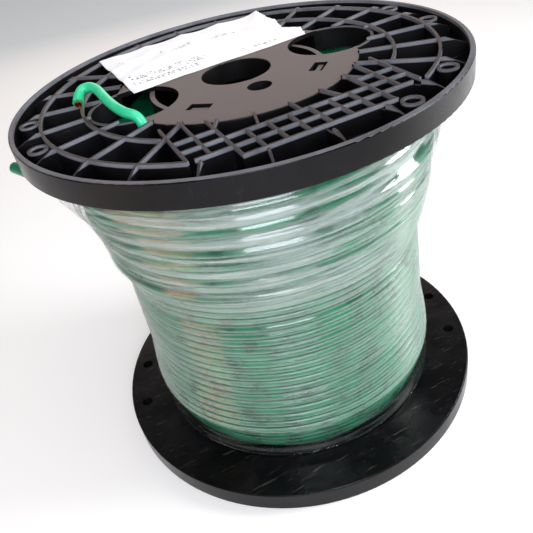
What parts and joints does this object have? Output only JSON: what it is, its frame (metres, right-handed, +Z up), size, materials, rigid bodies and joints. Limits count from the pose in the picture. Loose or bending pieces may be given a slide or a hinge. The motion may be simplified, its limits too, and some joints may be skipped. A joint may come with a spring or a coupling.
{
  "type": "wire spool",
  "caption": "Flanged plastic reel wound with green insulated stranded wire, with clear film over the winding and a paper label on the upper flange.",
  "frame": {"origin": "on the reel's axis, at the plane that the lower flange stands on", "axes": "+Z up along the reel's axis, +Y towards the label on the upper flange, -Y towards the lattice in the flange ribs, +X to the right hand hole"},
  "size_m": [0.3102, 0.3048, 0.292],
  "materials": {
    "reel_plastic": "moulded black plastic, satin gloss",
    "wire_insulation": "glossy green insulation",
    "copper_strand": "bare copper, cut ends",
    "clear_film": "clear stretch film",
    "label_paper": "coated white paper"
  },
  "bodies": {
    "root": {"upper_flange": "reel_plastic", "lower_flange": "reel_plastic", "barrel": "reel_plastic", "inner_winding": "wire_insulation", "outer_winding": "wire_insulation", "stretch_film": "clear_film", "lead_end_jacket": "wire_insulation", "lead_end_conductor": "copper_strand", "tail_end_jacket": "wire_insulation", "tail_end_conductor": "copper_strand", "product_label": "label_paper"}
  },
  "joints": []
}
